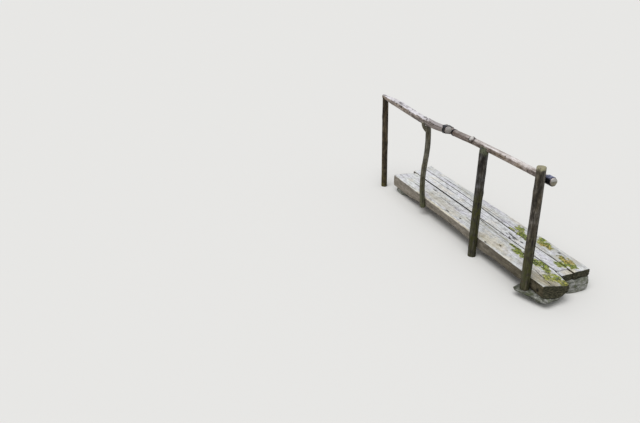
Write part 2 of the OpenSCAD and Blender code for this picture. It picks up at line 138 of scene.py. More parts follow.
class Solid:
    """A long CAD node, read by rays from outside towards its centre line."""

    def __init__(self, name, axis):
        self.name = name
        mesh = nodes[name].data
        mesh.calc_loop_triangles()
        corners = [v.co.copy() for v in mesh.vertices]
        faces = [tuple(t.vertices) for t in mesh.loop_triangles]
        self.tree = BVHTree.FromPolygons(corners, faces)
        self.order = ORDERS[axis]
        low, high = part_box(name)
        self.low, self.high = low[self.order[0]], high[self.order[0]]
        middle = (low + high) / 2
        self.follow([middle[k] for k in self.order[1:]])

    def point(self, along, across):
        """A point from its station and its two places across."""
        made = Vector((0, 0, 0))
        made[self.order[0]] = along
        made[self.order[1]], made[self.order[2]] = across
        return made

    def ray(self, start, way, length):
        """Where a ray meets the surface, or None."""
        return self.tree.ray_cast(start, way, length)[0]

    def seen_at(self, across, down):
        """The point that the photograph shows at a pixel."""
        width, height = PICTURE_SIZE
        way = camera_turn() @ Vector(((across - width / 2) / FOCAL_LENGTH,
                                      (height / 2 - down) / FOCAL_LENGTH, -1))
        eye = Vector(DECK_ORIGIN + CAMERA_PLACE)
        return np.array(self.ray(eye, way.normalized(), 20))

    def follow(self, centre):
        """Finds the centre line and the half widths at even stations."""
        inset = 0.002
        self.stations = np.linspace(self.low + inset, self.high - inset, STATIONS)
        self.centres, self.halves = [], []
        half = [0.05, 0.05]
        for along in self.stations:
            for k in (0, 1, 0, 1):
                side = np.eye(2)[k]
                ends = [self.ray(self.point(along, centre + sign * REACH * side),
                                 -sign * self.point(0, side), 2 * REACH)
                        for sign in (1, -1)]
                if ends[0] and ends[1]:
                    axis = self.order[1 + k]
                    centre = np.array(centre)
                    centre[k] = (ends[0][axis] + ends[1][axis]) / 2
                    half[k] = (ends[0][axis] - ends[1][axis]) / 2
            self.centres.append(np.array(centre))
            self.halves.append(list(half))
        self.centres, self.halves = np.array(self.centres), np.array(self.halves)

    def at(self, along, table):
        """The centre or half widths at a station."""
        return np.array([np.interp(along, self.stations, table[:, k]) for k in (0, 1)])

    def centres_at(self, along):
        """The centre line's two places across, at each of many stations."""
        return np.stack([np.interp(along, self.stations, self.centres[:, k])
                         for k in (0, 1)], axis=-1)

    def rim(self, along, way):
        """The surface's two places across, in the direction way from the centre."""
        centre = self.at(along, self.centres)
        out = way * self.at(along, self.halves)
        out = out / np.hypot(*out)
        hit = self.ray(self.point(along, centre + REACH * out),
                       self.point(0, -out), REACH)
        if hit is None:
            return None
        return np.array([hit[k] for k in self.order[1:]])


def round_ways(count):
    """Directions evenly round a circle."""
    turn = np.arange(count) * 2 * math.pi / count
    return np.stack([np.cos(turn), np.sin(turn)], axis=1)


def box_ways(top, side, bottom):
    """Directions to points spread along a square's top, sides and bottom."""
    rows = []
    for count, start, end in ((top, (1, 1), (-1, 1)), (side, (-1, 1), (-1, -1)),
                              (bottom, (-1, -1), (1, -1)), (side, (1, -1), (1, 1))):
        share = np.linspace(0, 1, count, endpoint=False)[:, None]
        rows.append(np.array(start) * (1 - share) + np.array(end) * share)
    return np.concatenate(rows)


def end_edges(solid, ways, skew):
    """For each direction, where the side's surface starts and ends, within
    the distance skew of the solid's ends: there it has nearly its full width."""
    nearly, tries = 0.96, 40
    edges = []
    for first, last in ((solid.low, solid.low + skew), (solid.high, solid.high - skew)):
        found = []
        for way in ways:
            centre = solid.at(last, solid.centres)
            full = np.hypot(*(solid.rim(last, way) - centre))
            for along in np.linspace(first, last, tries):
                rim = solid.rim(along, way)
                here = 0 if rim is None else np.hypot(*(rim - centre))
                if here > nearly * full:
                    break
            found.append(along)
        found = np.array(found)
        soft = sum(np.roll(found, k) for k in SPREAD) / len(SPREAD)
        edges.append(np.maximum(found, soft) if last > first else np.minimum(found, soft))
    return edges


# Sizes of the rings over an end face, as shares of its edge
CAP_SHARES = (0.97, 0.9, 0.8, 0.68, 0.54, 0.4, 0.26, 0.12)


def skin(solid, ways, shares, skew=0.0, smooth=0.0, keep_from=1.0):
    """The grid over a solid: end rings, side rings and end rings.
    shares are the side rings' places from 0 to 1. smooth is in grid points
    round the section and stops at the share keep_from."""
    if skew:
        low, high = end_edges(solid, ways, skew)
    else:
        margin = 0.0006
        low = np.full(len(ways), solid.low + margin)
        high = np.full(len(ways), solid.high - margin)
    rows, last = [], None
    for share in shares:
        row = []
        for j, way in enumerate(ways):
            along = low[j] * (1 - share) + high[j] * share
            rim = solid.rim(along, way)
            if rim is None:
                rim = last[j][1:] if last is not None else solid.at(along, solid.centres)
            row.append([along, *rim])
        last = row
        rows.append(row)
    side = np.array(rows)
    if smooth:
        reach = np.arange(-math.ceil(3 * smooth), math.ceil(3 * smooth) + 1)
        weights = np.exp(-0.5 * (reach / smooth) ** 2)
        soft = sum(w * np.roll(side, k, axis=1) for k, w in zip(reach, weights))
        soft /= weights.sum()
        much = 1 - step(np.array(shares), keep_from - 0.03, keep_from)
        side += (soft - side) * much[:, None, None]
    rings = [cap(solid, side[0], -1)[::-1], side, cap(solid, side[-1], 1)]
    is_cut = np.concatenate([np.full(len(r), k != 1) for k, r in enumerate(rings)])
    return Skin(solid, np.concatenate(rings), is_cut)


def cap(solid, edge, sign):
    """Rings over an end face, from the edge towards its middle. They follow a
    smooth surface through the solid's end."""
    middle = edge.mean(axis=0)
    outside = (solid.high + 0.1) if sign > 0 else (solid.low - 0.1)
    rings = []
    for share in CAP_SHARES:
        ring = middle + share * (edge - middle)
        for point in ring:
            hit = solid.ray(solid.point(outside, point[1:]),
                            solid.point(-sign, (0, 0)), 0.3)
            if hit is not None:
                point[0] = hit[solid.order[0]]
        rings.append(ring)
    rings = np.array(rings)
    u, v = ((rings[..., 1:] - middle[1:]) / 0.1).transpose(2, 0, 1)
    terms = np.stack([u ** 0, u, v, u * v, u * u, v * v], axis=-1)
    fit = np.linalg.lstsq(terms.reshape(-1, 6), rings[..., 0].ravel(), rcond=None)[0]
    inner = step(1 - np.array(CAP_SHARES), 0.0, 0.25)[:, None]
    rings[..., 0] += inner * (terms @ fit - rings[..., 0])
    return rings


class Skin:
    """A closed grid of points with what the relief and the finish need."""

    def __init__(self, solid, rows, is_cut):
        self.solid = solid
        self.points = np.empty_like(rows)
        for k, axis in enumerate(solid.order):
            self.points[..., axis] = rows[..., k]
        self.along = rows[..., 0]
        self.is_cut = np.repeat(is_cut[:, None], rows.shape[1], axis=1)
        across = rows[..., 1:] - solid.centres_at(self.along)
        self.grain = np.concatenate([across, rows[..., :1]], axis=-1)
        middle = rows[len(rows) // 2, :, 1:]
        hops = np.hypot(*(np.roll(middle, -1, axis=0) - middle).T)
        self.across = np.concatenate([[0], np.cumsum(hops)[:-1]])
        self.girth = hops.sum()
        self.marks = {}

    def normals(self):
        """Unit normals of the grid, pointing out."""
        down = np.gradient(self.points, axis=0)
        round_ = np.roll(self.points, -1, axis=1) - np.roll(self.points, 1, axis=1)
        normal = np.cross(round_, down)
        normal /= np.maximum(np.linalg.norm(normal, axis=-1, keepdims=True), 1e-12)
        middle = self.points[len(self.points) // 2]
        out = ((middle - middle.mean(axis=0)) * normal[len(normal) // 2]).sum()
        return normal * np.sign(out)

    def raise_by(self, height):
        """Moves the points out along the normals by height."""
        self.points += self.normals() * height[..., None]

    def mark(self, **marks):
        """Keeps values for each point, by name, for the finish to read."""
        for name, values in marks.items():
            self.marks[name] = np.broadcast_to(values, self.along.shape)


def ring_faces(rows, count):
    """Quads between the rings of a grid that closes on itself."""
    index = np.arange(rows * count).reshape(rows, count)
    beside = np.roll(index, -1, axis=1)
    quads = np.stack([index[:-1], beside[:-1], beside[1:], index[1:]], axis=-1)
    return quads.reshape(-1, 4).tolist()


def fan(ring, tip):
    """Triangles from a ring of points to a tip."""
    return [(tip, a, b) for a, b in zip(ring.tolist(), np.roll(ring, -1).tolist())]


def make_piece(skin_, name, finish):
    """The mesh object over a skin, in place of the node that it wraps."""
    rows, count = skin_.points.shape[:2]
    ends = np.stack([skin_.points[0].mean(axis=0), skin_.points[-1].mean(axis=0)])
    points = np.concatenate([skin_.points.reshape(-1, 3), ends])
    low_ring, high_ring = np.arange(count), np.arange((rows - 1) * count, rows * count)
    faces = ring_faces(rows, count)
    faces += fan(low_ring[::-1], rows * count) + fan(high_ring, rows * count + 1)
    marks = {"cut": skin_.is_cut.astype(float), **skin_.marks}
    marks = {key: np.append(value.ravel(), value[[0, -1], 0]) for key, value in marks.items()}
    grain = np.concatenate([skin_.grain.reshape(-1, 3), skin_.grain[[0, -1], 0] * (0, 0, 1)])
    piece = mesh_object(name, points, faces, marks, grain)
    dress(piece, finish, skin_.solid.name)


def add_object(name, data):
    """A new object in the scene."""
    made = bpy.data.objects.new(name, data)
    bpy.context.scene.collection.objects.link(made)
    return made


def mesh_object(name, points, faces, marks, grain):
    """A smooth mesh object with its marks and grain as attributes. It stays
    inside the solids' own box."""
    mesh = bpy.data.meshes.new(name)
    points = np.clip(points, *cad_box)
    mesh.from_pydata(points.tolist(), [], faces)
    for key, values in marks.items():
        layer = mesh.attributes.new(key, "FLOAT", "POINT")
        layer.data.foreach_set("value", np.ascontiguousarray(values, np.float32))
    layer = mesh.attributes.new("grain", "FLOAT_VECTOR", "POINT")
    layer.data.foreach_set("vector", np.ascontiguousarray(grain, np.float32).ravel())
    mesh.update()
    if signed_volume(points, mesh) < 0:
        mesh.flip_normals()
    mesh.shade_smooth()
    return add_object(name, mesh)


def signed_volume(points, mesh):
    """The mesh's volume, negative where its faces look in."""
    mesh.calc_loop_triangles()
    corners = np.zeros(len(mesh.loop_triangles) * 3, np.int32)
    mesh.loop_triangles.foreach_get("vertices", corners)
    a, b, c = np.asarray(points)[corners.reshape(-1, 3)].transpose(1, 0, 2)
    return (np.cross(a, b) * c).sum()


def dress(piece, finish, node=None):
    """Gives a piece its finish and its place in the frame, maybe a node's."""
    piece.data.materials.append(finish)
    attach(piece, "root")
    if node:
        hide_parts(node)


# Relief of old wood

def grooves(grain, seed, width, length):
    """Narrow winding lines along the grain: 1 in a line's middle, else 0."""
    bend = cloudy(grain / (0.06, 0.06, 0.3), seed + 5, 2)[..., None] * 0.5
    lines = noise(grain / (width, width, length) + bend, seed)
    return np.clip(1 - np.abs(lines) / 0.16, 0, 1)


def wood_relief(grain, seed, rough):
    """Height of worn grain, in metres, as much above 0 as below it."""
    broad = cloudy(grain / (0.035, 0.035, 0.4), seed, 3)
    fine = cloudy(grain / (0.008, 0.008, 0.12), seed + 1, 2)
    lines = grooves(grain, seed + 2, 0.014, 0.25)
    return rough * (0.0010 * broad + 0.0005 * fine - 0.0012 * (lines - 0.12))


def random_checks(rng, skin_, count, length, width):
    """Rows of drying checks: start, end, place round the section, half width."""
    low, high = skin_.along.min(), skin_.along.max()
    starts = rng.uniform(low, high, count)
    return [(start, start + length * rng.uniform(0.3, 1), skin_.girth * rng.uniform(),
             width * rng.uniform(0.5, 1)) for start in starts]


def check_depth(skin_, rows, seed):
    """How deep the checks run at each point, from 0 to 1."""
    deep = np.zeros(skin_.along.shape)
    for k, (start, end, place, width) in enumerate(rows):
        share = (skin_.along - start) / (end - start)
        open_ = np.sqrt(np.clip(4 * share * (1 - share), 0, 1)) * (1 - skin_.is_cut)
        line = np.stack([skin_.along * 9, skin_.along * 0 + k, skin_.along * 0], -1)
        away = skin_.across - place - 0.012 * cloudy(line, seed, 3)
        away = (away + skin_.girth / 2) % skin_.girth - skin_.girth / 2
        deep = np.maximum(deep, open_ * np.clip(1.3 - np.abs(away) / width, 0, 1))
    return deep


def facing_up(skin_):
    """1 where the surface looks up, 0 where it doesn't."""
    return step(skin_.normals()[..., 2], 0.35, 0.85)


# Planks

# Patches on the deck: x and y of the middle, half sizes along x and y, strength
MOSS = (
    (0.372, -0.24, 0.105, 0.062, 1.5),
    (0.296, -0.264, 0.055, 0.032, 1.2),
    (0.254, -0.224, 0.072, 0.04, 0.9),
    (0.118, -0.15, 0.09, 0.056, 0.55),
    (0.15, -0.205, 0.07, 0.03, 0.45),
    (0.02, -0.24, 0.085, 0.058, 1.4),
    (0.095, -0.238, 0.065, 0.05, 0.85),
    (0.085, -0.262, 0.05, 0.03, 0.9),
    (0.765, -0.24, 0.07, 0.024, 1.4),
    (0.68, -0.236, 0.09, 0.034, 1.5),
    (0.585, -0.222, 0.075, 0.036, 1.4),
    (0.64, -0.205, 0.12, 0.048, 0.95),
    (0.54, -0.182, 0.055, 0.034, 0.85),
    (0.48, -0.235, 0.07, 0.03, 0.8),
    (0.905, -0.49, 0.11, 0.06, 1.4),
    (0.838, -0.468, 0.06, 0.04, 1.2),
    (1.06, -0.56, 0.075, 0.054, 0.8),
    (0.985, -0.525, 0.07, 0.036, 0.6),
    (1.075, -0.469, 0.07, 0.02, 0.7),
    (0.64, -0.575, 0.09, 0.062, 1.1),
    (0.77, -0.61, 0.07, 0.045, 0.95),
    (0.7, -0.54, 0.07, 0.035, 0.5),
    (0.575, -0.56, 0.055, 0.038, 0.95),
    (0.262, -0.442, 0.085, 0.056, 1.4),
    (0.29, -0.535, 0.12, 0.056, 1.0),
    (0.17, -0.533, 0.055, 0.034, 1.0),
    (0.225, -0.497, 0.085, 0.046, 0.9),
)
ORANGE_MOSS = (
    (0.29, -0.545, 0.09, 0.05, 1.0),
    (0.385, -0.53, 0.05, 0.036, 0.8),
    (0.61, -0.54, 0.1, 0.062, 0.9),
    (0.02, -0.24, 0.08, 0.055, 0.55),
)
FILM = (
    (0.118, -0.152, 0.1, 0.066, 1.0),
    (0.16, -0.205, 0.1, 0.055, 0.8),
    (0.3, -0.48, 0.2, 0.12, 0.45),
    (0.69, -0.55, 0.21, 0.1, 0.6),
    (0.64, -0.205, 0.18, 0.06, 0.7),
    (0.93, -0.49, 0.22, 0.065, 0.55),
    (1.08, -0.254, 0.33, 0.026, 1.0),
    (2.1, -0.57, 0.35, 0.045, 0.45),
    (1.9, -0.13, 0.7, 0.11, 0.2),
    (0.12, -0.39, 0.08, 0.06, 0.4),
    (0.35, -0.6, 0.35, 0.05, 0.3),
)
STAIN = (
    (0.04, -0.1, 0.17, 0.12, 1.0),
    (0.828, -0.123, 0.05, 0.045, 0.9),
    (0.9, -0.06, 0.35, 0.05, 0.4),
    (0.38, -0.11, 0.18, 0.07, 0.35),
    (0.15, -0.05, 0.22, 0.08, 0.9),
)
CREAM = (
    (1.75, -0.012, 1.0, 0.02, 1.0),
    (0.9, -0.08, 0.28, 0.1, 0.7),
    (2.0, -0.12, 0.5, 0.08, 0.45),
    (0.11, -0.42, 0.09, 0.09, 0.9),
)

# Cracks in the deck's top: x and y of the points along each, then its half width
CRACKS = (
    (0.2, -0.23, 0.6, -0.24, 0.9, -0.238, 0.006),
    (0.88, -0.239, 1.08, -0.257, 1.28, -0.268, 0.003),
    (1.24, -0.268, 1.4, -0.284, 1.56, -0.301, 0.007),
    (0.78, -0.47, 0.9, -0.488, 1.1, -0.5, 1.4, -0.508, 1.9, -0.52, 0.0038),
    (0.847, -0.362, 0.95, -0.372, 1.044, -0.386, 0.0125),
    (0.87, -0.345, 0.93, -0.349, 0.01),
    (0.905, -0.308, 0.962, -0.331, 0.013),
    (0.775, -0.372, 0.83, -0.378, 0.009),
    (1.0, -0.352, 1.05, -0.356, 0.008),
    (0.166, -0.216, 0.2, -0.196, 0.228, -0.17, 0.0075),
    (0.445, -0.585, 0.478, -0.583, 0.01),
    (0.09, -0.101, 0.272, -0.133, 0.0045),
    (-0.02, -0.091, 0.085, -0.101, 0.0045),
    (0.935, -0.023, 0.967, -0.023, 0.009),
    (0.8, -0.118, 0.85, -0.126, 0.01),
    (1.515, -0.086, 1.56, -0.09, 0.009),
    (1.735, -0.058, 1.8, -0.062, 0.008),
    (2.3, -0.238, 2.375, -0.236, 0.016),
    (2.32, -0.426, 2.375, -0.424, 0.008),
    (1.25, -0.15, 1.52, -0.162, 0.004),
    (1.7, -0.2, 2.15, -0.19, 0.004),
    (2.3, -0.11, 2.7, -0.12, 0.0045),
    (1.45, -0.395, 2.05, -0.402, 0.004),
    (2.1, -0.42, 2.7, -0.41, 0.0045),
    (2.0, -0.56, 2.8, -0.555, 0.0045),
)

# Knots on the left plank's side: the photograph's pixel, the radius and the height
SIDE_KNOTS = ((537.0, 290.4, 0.022, -0.005), (530.6, 284.0, 0.010, -0.002))

# The sides of each plank that face a joint, as signs of y
JOINT_SIDES = {"left_plank": (-1,), "middle_plank": (1, -1), "right_plank": (1,)}
# The two joints lie on either side of this y
MIDDLE_PLANK_Y = -0.4

# The planks' grids are fine from the near end to where the moss stops
MOSS_END, FINE_STEP, COARSE_STEP = 1.25, 0.0065, 0.012
CRACK_DEPTH, CHIP_DEPTH, MOSS_HEIGHT = 0.006, 0.004, 0.004


def cover(deck, patches, clump):
    """How much the patches cover each point, from 0 to 1."""
    total = np.zeros(deck.shape[:-1])
    for x, y, half_x, half_y, strength in patches:
        away = np.hypot((deck[..., 0] - x) / half_x, (deck[..., 1] - y) / half_y)
        total = np.maximum(total, strength * step(1.05 - away + 0.55 * clump, 0, 0.6))
    return np.clip(total, 0, 1)


def crack_depth(deck, up):
    """How deep the deck's cracks run at each point, from 0 to 1."""
    x, y = deck[..., 0], deck[..., 1]
    wander = 0.004 * cloudy(np.stack([x * 7, x * 0, y * 3], -1), 61, 3)
    ragged = 1 + 0.5 * noise(np.stack([x * 45, x * 0, y * 9], -1), 62)
    deep = np.zeros(x.shape)
    for *places, half_width in CRACKS:
        xs, ys = places[::2], places[1::2]
        share = np.clip((x - xs[0]) / (xs[-1] - xs[0]), 0, 1)
        open_ = (4 * share * (1 - share)) ** 0.3
        away = np.abs(y - np.interp(x, xs, ys) - wander) / (half_width * ragged)
        deep = np.maximum(deep, open_ * np.clip(1.4 - away, 0, 1))
    return deep * up


def plank_shares(solid):
    """The side rings' places, close together as far as the moss grows."""
    length = solid.high - solid.low
    near = np.arange(0, MOSS_END, FINE_STEP)
    far = np.linspace(MOSS_END, length, round((length - MOSS_END) / COARSE_STEP))
    return np.concatenate([near, far]) / length


def joint_shade(made, name, deck):
    """1 on a plank's sides down in the joints, where no light comes. At the
    deck's two ends the joints have filled with dirt and are paler."""
    x, y, z = np.moveaxis(deck, -1, 0)
    second = step(x, 0.9, 1.15) * (1 - 0.8 * step(x, 1.75, 1.95))
    clean = np.where(y > MIDDLE_PLANK_Y, step(x, 1.4, 1.7), second)
    clean = clean * (1 - step(x, 2.72, 2.85))
    y_way = made.normals()[..., 1]
    sides = sum(step(side * y_way, 0.35, 0.7) for side in JOINT_SIDES[name])
    below = step(-z, 0.001, 0.005) * step(x, 0.12, 0.25)
    return sides * below * (0.3 + 0.7 * clean)


def ledge_shade(made):
    """The shade below the middle plank's ledge, on its face to the near end."""
    return 0.8 * step(-made.normals()[..., 0], 0.4, 0.8) * (1 - made.is_cut)


def chips(made, ways, seed):
    """1 where splinters have broken off a plank's long top edges."""
    top = ways[:, 1] > 0.999
    near_edge = 1 - np.where(top, np.minimum(1, 8 * (1 - np.abs(ways[:, 0]))), 1.0)
    near_cut = np.maximum.reduce([np.roll(made.is_cut, k, axis=0) for k in SPREAD])
    broken = step(cloudy(made.grain / (0.5, 0.5, 0.05), seed, 3), 0.12, 0.6)
    return broken * near_edge * (1 - near_cut)


def plank_height(made, ways, deck, deep, seed):
    """Height of a plank's grain, cracks and chips, which is rougher below."""
    below = step(-deck[..., 2], 0.012, 0.05)
    hewn = cloudy(made.grain / (0.05, 0.05, 0.22), seed + 3, 3)
    height = wood_relief(made.grain, seed, 0.5 + 0.7 * below) - CRACK_DEPTH * deep
    height += 0.0022 * below * hewn - CHIP_DEPTH * chips(made, ways, seed + 4)
    return height - 0.0014 * made.is_cut * grooves(made.grain, seed + 8, 0.012, 0.09)


def dress_plank(name, seed, ways, skew, finish):
    """A split-log plank with worn grain, cracks, chipped edges and moss."""
    solid = Solid(name, "x")
    made = skin(solid, ways, plank_shares(solid), skew=skew)
    up = facing_up(made)
    deck = on_deck(made.points)
    made.grain = deck[..., [1, 2, 0]]
    cracks = crack_depth(deck, up)
    rows = random_checks(np.random.default_rng(seed), made, 20, 0.6, 0.003)
    deep = np.maximum(cracks, 0.6 * check_depth(made, rows, seed) * (1 - 0.5 * up))
    bumps, dark, _ = knot_relief(made, SIDE_KNOTS if name == "left_plank" else ())
    shaded = joint_shade(made, name, deck)
    if name == "middle_plank":
        shaded = np.maximum(shaded, ledge_shade(made))
    clump = cloudy(deck * (26, 34, 26), 71, 4)
    wet = up * step(deck[..., 2], -0.07, -0.015)
    moss = cover(deck, MOSS, clump) * wet
    height = plank_height(made, ways, deck, deep, seed) + bumps
    lumps = 0.5 + 0.5 * cloudy(deck * 110, seed + 6, 2)
    made.raise_by(height * (1 - 0.6 * moss) + MOSS_HEIGHT * moss * lumps)
    # Painted shade down in the cracks, checks, joints and knot holes, and on the ledge's face
    made.mark(up=up, painted_shade=np.maximum(np.maximum(deep, shaded), dark),
              moss=moss * (1 - 0.5 * cracks), warm=cover(deck, ORANGE_MOSS, clump),
              cream=cover(deck, CREAM, 0.6 * clump) * up,
              film=cover(deck, FILM, 0.8 * clump) * wet,
              stain=cover(deck, STAIN, 0.7 * clump) * up,
              near=1 - step(deck[..., 0], -0.1, 1.6), far=step(deck[..., 0], 1.9, 2.6))
    make_piece(made, name + "_wood", finish)


# Posts and poles

# Knots on the poles: the photograph's pixel, the radius and the height. One with
# a height below 0 is a hole filled with painted shade, the others are sawn stubs of branches.
NEAR_POLE_KNOTS = (
    (471.8, 138.8, 0.028, 0.018), (505.0, 156.5, 0.010, -0.006),
    (527.0, 171.0, 0.011, -0.005), (489.0, 149.5, 0.009, -0.005),
)
FAR_POLE_KNOTS = (
    (400.6, 102.4, 0.020, -0.012), (413.4, 109.6, 0.018, -0.012),
    (427.0, 118.8, 0.022, -0.012), (423.6, 116.6, 0.013, -0.010),
    (401.0, 107.2, 0.015, -0.010), (409.5, 112.8, 0.012, -0.008),
    (425.6, 117.0, 0.013, 0.008), (433.0, 124.5, 0.010, -0.007),
    (419.0, 121.4, 0.017, -0.008), (396.5, 104.0, 0.013, -0.008),
)
LAP_START, LAP_END = 1.25, 2.25


def knot_relief(made, knots):
    """Height, painted shade and sawn faces of knots, at each point."""
    height, dark, sawn = np.zeros((3, *made.along.shape))
    for across, down, radius, rise in knots:
        place = made.solid.seen_at(across, down)
        away = np.linalg.norm((made.points - place), axis=-1) / radius
        ragged = away * (1 + 0.25 * noise(made.points * 70, 31))
        height += rise * np.exp(-ragged ** 4)
        rim = np.exp(-((ragged - 1.3) / 0.45) ** 2)
        if rise < 0:
            height -= 0.3 * rise * rim
            dark = np.maximum(dark, np.clip(1.7 - 1.5 * ragged, 0, 1))
        else:
            dark = np.maximum(dark, rim)
            sawn = np.maximum(sawn, step(0.9 - away, 0, 0.2))
    return height, dark, sawn


# The solids' posts and poles have this many sides, which the skins round off
SOLID_SIDES = 20


def dress_round(name, axis, finish, seed, sides, spacing, rough, damp_to=0.0,
                checks=(6, 0.5, 0.003), keep_from=2.0, knots=(), crust=0.0):
    """A natural post or pole with grain, checks, knots, a green foot up to the
    height damp_to and lichen over the top crust metres."""
    solid = Solid(name, axis)
    count = round((solid.high - solid.low) / spacing)
    facet = sides / SOLID_SIDES
    made = skin(solid, round_ways(sides), np.linspace(0, 1, count), smooth=0.45 * facet,
                keep_from=keep_from)
    up = facing_up(made)
    rows = random_checks(np.random.default_rng(seed), made, *checks)
    deep = check_depth(made, rows, seed)
    bumps, dark, sawn = knot_relief(made, knots)
    made.is_cut = np.maximum(made.is_cut, sawn)
    made.raise_by(wood_relief(made.grain, seed, rough) - 0.005 * deep + bumps)
    patches = cloudy(made.points * 9, seed + 8, 3)
    drop = damp_to - made.points[..., 2] + 0.15 * patches
    # Painted shade down in the checks and round the knots
    # Sawn ends get their painted highlight at half strength
    made.mark(up=up, painted_shade=np.maximum(deep, dark), crown_highlight=0.5,
              damp=step(drop, 0, 0.45) * (0.8 + 0.4 * patches))
    if axis == "x":
        mark_pole(made, patches)
    if crust:
        mark_crust(made, crust, seed + 9)
    make_piece(made, name + "_wood", finish)


def mark_pole(made, patches):
    """Marks where the poles are dim, round their lap, and the ends' upper half, where a
    highlight is painted.
    """
    lap = on_deck(made.points)[..., 0] + 0.1 * patches
    dim = step(lap, LAP_START, 1.6) * (1 - step(lap, LAP_END - 0.25, LAP_END))
    centre = made.solid.centres_at(made.along)
    made.mark(dim=dim, crown_highlight=step(made.points[..., 2] - centre[..., 1], -0.02, 0.02))


def mark_crust(made, crust, seed):
    """Marks the lichen over the top crust metres of a post."""
    ragged = cloudy(made.points * 38, seed, 3)
    depth = made.solid.high - made.points[..., 2] + 0.55 * crust * ragged
    made.mark(crust=step(crust - depth, -0.3 * crust, 0.4 * crust))


def even_mesh(name, size):
    """A node's mesh, rebuilt from even faces of about this size."""
    copy = add_object(name + "_wood", nodes[name].data.copy())
    remesh = copy.modifiers.new("even", "REMESH")
    remesh.mode = "VOXEL"
    remesh.voxel_size = size
    view = bpy.context.evaluated_depsgraph_get()
    mesh = bpy.data.meshes.new_from_object(copy.evaluated_get(view))
    bpy.data.objects.remove(copy)
    return mesh


def dress_crooked_post():
    """The forked post, from an even mesh because its top branches."""
    name, seed = "crooked_post", 41
    mesh = even_mesh(name, 0.0026)
    points = np.zeros(len(mesh.vertices) * 3)
    mesh.vertices.foreach_get("co", points)
    points = relax(points.reshape(-1, 3), mesh, 8)
    faces = [tuple(p.vertices) for p in mesh.polygons]
    normal = vertex_normals(points, mesh)
    solid = Solid(name, "z")
    across = points[:, :2] - solid.centres_at(points[:, 2])
    grain = np.concatenate([across, points[:, 2:]], axis=-1)
    lines = grooves(grain, seed + 6, 0.02, 0.3)
    height = wood_relief(grain, seed, 1.0) - 0.0015 * lines + 0.0012
    points = points + normal * height[:, None]
    patches = cloudy(points * 9, seed + 7, 3)
    drop = 0.75 - points[:, 2] + 0.15 * patches
    # The deeper grooves get painted shade
    marks = {"up": step(normal[:, 2], 0.35, 0.85), "painted_shade": 0.7 * step(lines, 0.6, 1),
             "damp": step(drop, 0, 0.6) * (0.8 + 0.4 * patches)}
    piece = mesh_object(name + "_wood", points, faces, marks, grain)
    dress(piece, crooked_finish, name)


def relax(points, mesh, rounds):
    """Evens out facets: each point moves towards the mean of its neighbours."""
    ends = np.zeros(len(mesh.edges) * 2, np.int32)
    mesh.edges.foreach_get("vertices", ends)
    a, b = ends.reshape(-1, 2).T
    count = np.bincount(ends, minlength=len(points))[:, None]
    for _ in range(rounds):
        total = np.zeros_like(points)
        np.add.at(total, a, points[b])
        np.add.at(total, b, points[a])
        points = points + 0.6 * (total / count - points)
    return points


def vertex_normals(points, mesh):
    """Unit normals of a mesh whose points have moved."""
    mesh.vertices.foreach_set("co", points.ravel())
    mesh.update()
    normal = np.zeros(len(points) * 3, np.float32)
    mesh.vertex_normals.foreach_get("vector", normal)
    return normal.reshape(-1, 3)


# Rubber straps

STRAP_SIDES = 12
RINGS_PER_TURN = 96
TURN_GAP = 0.0015
NEAR_STRAP_WIDTH, SPLICE_STRAP_WIDTH, TAIL_WIDTH = 0.022, 0.024, 0.020


class Poles:
    """Centres and radii of the near pole, 0, and the far pole, 1, at any x."""

    def __init__(self):
        self.solids = [Solid("near_rail_pole", "x"), Solid("far_rail_pole", "x")]

    def at(self, which, x):
        solid = self.solids[which]
        return solid.at(x, solid.centres), solid.at(x, solid.halves).mean()

    def outer(self, x, way):
        """The pole that reaches further out in a direction."""
        reach = [centre @ way + radius for centre, radius in (self.at(0, x), self.at(1, x))]
        return int(reach[1] > reach[0])

    def out(self, which, x, way, clear):
        """A pole's point furthest out in a direction, and clear of it."""
        centre, radius = self.at(which, x)
        return centre + (radius + clear) * way


def strap_section(width, thick, turn, seed):
    """Points of a strap's rounded section: place along the pole and height."""
    u, v = round_ways(STRAP_SIDES).T
    u = np.sign(u) * np.abs(u) ** 0.35 * width / 2
    v = np.sign(v) * np.abs(v) ** 0.5 * thick / 2 + thick / 2
    place = np.stack([u * 160, v * 0 + turn * 9, v * 0 + seed], -1)
    return u, v + 0.0007 * noise(place, seed) * (v > thick / 2)


def wind_strap(poles, name, first_x, pitch, width, thick, turns, seed,
               both=False, slant=0, sheen=0.1):
    """A flat rubber strap wound in a helix round the near pole or both. The slant
    moves it along as it comes round from the outer side."""
    rows = []
    turns = np.linspace(*turns, round((turns[1] - turns[0]) * RINGS_PER_TURN))
    for turn in turns:
        way = np.array([math.cos(turn * 2 * math.pi), math.sin(turn * 2 * math.pi)])
        x = first_x + pitch * turn
        which = poles.outer(x, way) if both else 0
        front = poles.out(1, x, np.array([1, 0]), 0)[0]
        moved = slant * (front - poles.out(which, x, way, 0)[0])
        row = []
        for u, v in zip(*strap_section(width, thick, turn, seed)):
            place = x + moved + u
            row.append([place, *poles.out(which, place, way, v)])
        rows.append(row)
    points = np.array(rows).reshape(-1, 3)
    faces = ring_faces(len(rows), STRAP_SIDES)
    faces += [list(reversed(range(STRAP_SIDES))),
              list(range(len(points) - STRAP_SIDES, len(points)))]
    # Painted sheen: a pale blue reflection of the sky on the turns' upper sides
    painted_sheen = sheen * step(np.sin(turns * 2 * math.pi), 0.45, 0.95)
    marks = {"up": np.repeat(painted_sheen, STRAP_SIDES)}
    piece = mesh_object(name + "_rubber", points, faces, marks, points)
    dress(piece, rubber_finish, name if name in nodes else None)


